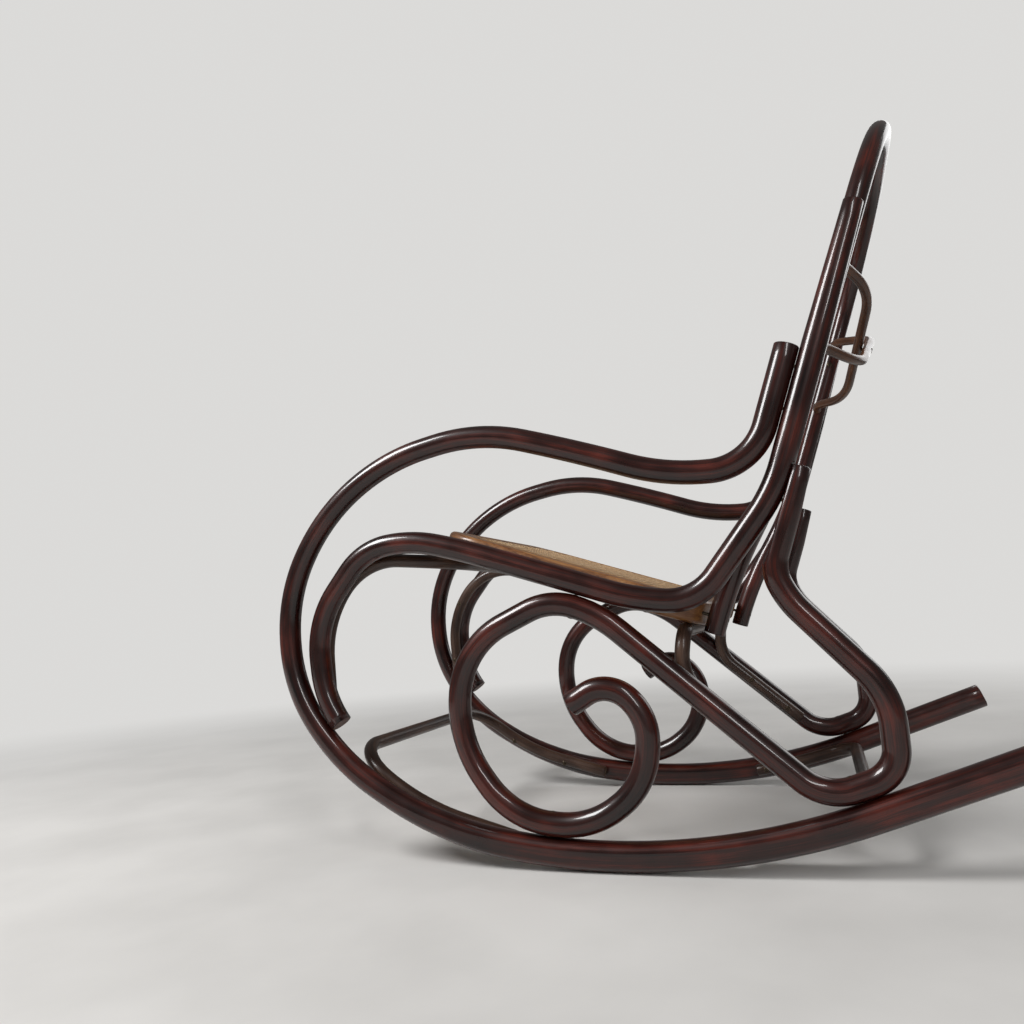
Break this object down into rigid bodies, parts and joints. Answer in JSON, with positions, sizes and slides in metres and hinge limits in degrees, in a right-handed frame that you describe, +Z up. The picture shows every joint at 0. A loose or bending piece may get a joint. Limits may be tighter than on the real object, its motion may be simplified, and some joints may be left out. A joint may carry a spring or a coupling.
{
  "type": "rocking chair",
  "caption": "Bentwood rocking chair: curved arm-runner sticks, scrolled legs, an arched back hoop with crossed rods and a woven cane seat",
  "frame": {"origin": "on the floor under the middle of the chair, where the centre of its box is", "axes": "+X to the sitter's left, -Y to the front, +Z up; the width is along X"},
  "size_m": [0.563, 1.027, 1.0151],
  "materials": {
    "dark_wood": "gloss",
    "stretcher_wood": "satin",
    "rod_wood": "satin",
    "seat_wood": "satin",
    "cane": "matte",
    "spline_wood": "satin",
    "screw_steel": "satin"
  },
  "bodies": {
    "root": {"left_arm_rocker": "dark_wood", "right_arm_rocker": "dark_wood", "left_seat_post": "dark_wood", "right_seat_post": "dark_wood", "left_leg_scroll": "dark_wood", "right_leg_scroll": "dark_wood", "back_hoop": "dark_wood", "left_back_bow": "rod_wood", "right_back_bow": "rod_wood", "seat_frame": "seat_wood", "seat_cane": "cane", "seat_spline": "spline_wood", "front_seat_stretcher": "stretcher_wood", "rear_seat_stretcher": "stretcher_wood", "front_runner_stretcher": "stretcher_wood", "rear_runner_stretcher": "stretcher_wood", "arm_post_screws": "screw_steel", "leg_post_screws": "screw_steel", "curl_runner_screws": "screw_steel", "scroll_rail_screws": "screw_steel", "scroll_runner_screws": "screw_steel", "leg_runner_screws": "screw_steel", "hoop_post_screws": "screw_steel", "hoop_seat_screws": "screw_steel", "seat_rail_screws": "screw_steel", "front_seat_stretcher_screws": "screw_steel", "rear_seat_stretcher_screws": "screw_steel", "front_runner_stretcher_screws": "screw_steel", "rear_runner_stretcher_screws": "screw_steel", "bow_cross_screw": "screw_steel"}
  },
  "joints": []
}
